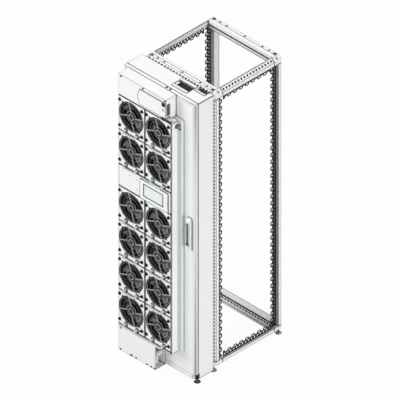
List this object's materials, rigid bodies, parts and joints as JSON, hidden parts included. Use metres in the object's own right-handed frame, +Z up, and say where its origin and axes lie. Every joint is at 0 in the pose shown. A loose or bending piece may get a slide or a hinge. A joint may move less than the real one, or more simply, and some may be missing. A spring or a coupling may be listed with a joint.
{
  "type": "rear door heat exchanger with fan wall on a rack frame",
  "caption": "Cooling door for a server rack: a hinged leaf with a fan wall, display and finned coil, on a hood bolted to an open rack frame.",
  "frame": {"origin": "on the floor under the middle of the whole object's box", "axes": "+Z up, -Y towards the person who faces the closed door, +X to that person's right, where the door handle is"},
  "size_m": [0.6274, 0.87, 2.022],
  "materials": {
    "frame_paint": "powder coated, satin, near white",
    "sheet_paint": "powder coated, satin, pale grey",
    "corner_cast": "cast and powder coated",
    "zinc_steel": "zinc plated",
    "fan_plastic": "moulded, matt black",
    "handle_metal": "bent bar, satin grey",
    "grip_plastic": "moulded, grey",
    "seal_rubber": "soft black roll",
    "display_glass": "flat clear cover over a pale screen",
    "fin_aluminium": "thin rolled fins",
    "copper_pipe": "drawn copper, brazed",
    "galvanised": "galvanised sheet"
  },
  "bodies": {
    "rack_and_hood": {"post_left_door_side": "frame_paint", "post_right_door_side": "frame_paint", "post_left_far_side": "frame_paint", "post_right_far_side": "frame_paint", "top_side_rails": "frame_paint", "bottom_side_rails": "frame_paint", "top_cross_beams": "frame_paint", "bottom_cross_beams": "frame_paint", "corner_pieces": "corner_cast", "rack_feet": "zinc_steel", "hood_left_side": "sheet_paint", "hood_right_side": "sheet_paint", "hood_top": "sheet_paint", "hood_bottom": "sheet_paint", "hood_feet": "zinc_steel", "cable_entry_frames": "sheet_paint", "entry_roll": "seal_rubber", "hinge_fixed_leaves": "zinc_steel"},
    "door": {"band_plate": "sheet_paint", "cable_gland": "grip_plastic", "coil_casing": "galvanised", "coil_core": "fin_aluminium", "coil_headers": "copper_pipe", "connector_block": "sheet_paint", "control_box": "sheet_paint", "control_box_cover": "sheet_paint", "display_panel": "sheet_paint", "display_screen": "display_glass", "door_handle": "sheet_paint", "door_leaf": "sheet_paint", "fan_base": "sheet_paint", "fan_divider": "sheet_paint", "fan_guards": "fan_plastic", "fan_handles": "handle_metal", "fan_housing_ends": "sheet_paint", "fan_housing_left": "sheet_paint", "fan_housing_right": "sheet_paint", "fan_plates": "sheet_paint", "hinge_moving_leaves": "zinc_steel", "lower_box": "sheet_paint", "pipe_elbows": "copper_pipe"},
    "rotor_01": {"fan_rotor_01": "fan_plastic"},
    "rotor_02": {"fan_rotor_02": "fan_plastic"},
    "rotor_03": {"fan_rotor_03": "fan_plastic"},
    "rotor_04": {"fan_rotor_04": "fan_plastic"},
    "rotor_05": {"fan_rotor_05": "fan_plastic"},
    "rotor_06": {"fan_rotor_06": "fan_plastic"},
    "rotor_07": {"fan_rotor_07": "fan_plastic"},
    "rotor_08": {"fan_rotor_08": "fan_plastic"},
    "rotor_09": {"fan_rotor_09": "fan_plastic"},
    "rotor_10": {"fan_rotor_10": "fan_plastic"},
    "rotor_11": {"fan_rotor_11": "fan_plastic"},
    "rotor_12": {"fan_rotor_12": "fan_plastic"}
  },
  "joints": [
    {"name": "door_hinge", "type": "hinge", "parent": "rack_and_hood", "child": "door", "pos_m": [-0.309, -0.2835, 1.04], "axis": [0, 0, -1], "range_deg": [0, 110]},
    {"name": "fan_spin_01", "type": "hinge", "parent": "door", "child": "rotor_01", "pos_m": [-0.1485, -0.367, 1.754], "axis": [0, -1, 0], "continuous": true},
    {"name": "fan_spin_02", "type": "hinge", "parent": "door", "child": "rotor_02", "pos_m": [0.0775, -0.367, 1.754], "axis": [0, -1, 0], "continuous": true},
    {"name": "fan_spin_03", "type": "hinge", "parent": "door", "child": "rotor_03", "pos_m": [-0.1485, -0.367, 1.504], "axis": [0, -1, 0], "continuous": true},
    {"name": "fan_spin_04", "type": "hinge", "parent": "door", "child": "rotor_04", "pos_m": [0.0775, -0.367, 1.504], "axis": [0, -1, 0], "continuous": true},
    {"name": "fan_spin_05", "type": "hinge", "parent": "door", "child": "rotor_05", "pos_m": [-0.1485, -0.367, 1.097], "axis": [0, -1, 0], "continuous": true},
    {"name": "fan_spin_06", "type": "hinge", "parent": "door", "child": "rotor_06", "pos_m": [0.0775, -0.367, 1.097], "axis": [0, -1, 0], "continuous": true},
    {"name": "fan_spin_07", "type": "hinge", "parent": "door", "child": "rotor_07", "pos_m": [-0.1485, -0.367, 0.847], "axis": [0, -1, 0], "continuous": true},
    {"name": "fan_spin_08", "type": "hinge", "parent": "door", "child": "rotor_08", "pos_m": [0.0775, -0.367, 0.847], "axis": [0, -1, 0], "continuous": true},
    {"name": "fan_spin_09", "type": "hinge", "parent": "door", "child": "rotor_09", "pos_m": [-0.1485, -0.367, 0.597], "axis": [0, -1, 0], "continuous": true},
    {"name": "fan_spin_10", "type": "hinge", "parent": "door", "child": "rotor_10", "pos_m": [0.0775, -0.367, 0.597], "axis": [0, -1, 0], "continuous": true},
    {"name": "fan_spin_11", "type": "hinge", "parent": "door", "child": "rotor_11", "pos_m": [-0.1485, -0.367, 0.347], "axis": [0, -1, 0], "continuous": true},
    {"name": "fan_spin_12", "type": "hinge", "parent": "door", "child": "rotor_12", "pos_m": [0.0775, -0.367, 0.347], "axis": [0, -1, 0], "continuous": true}
  ]
}
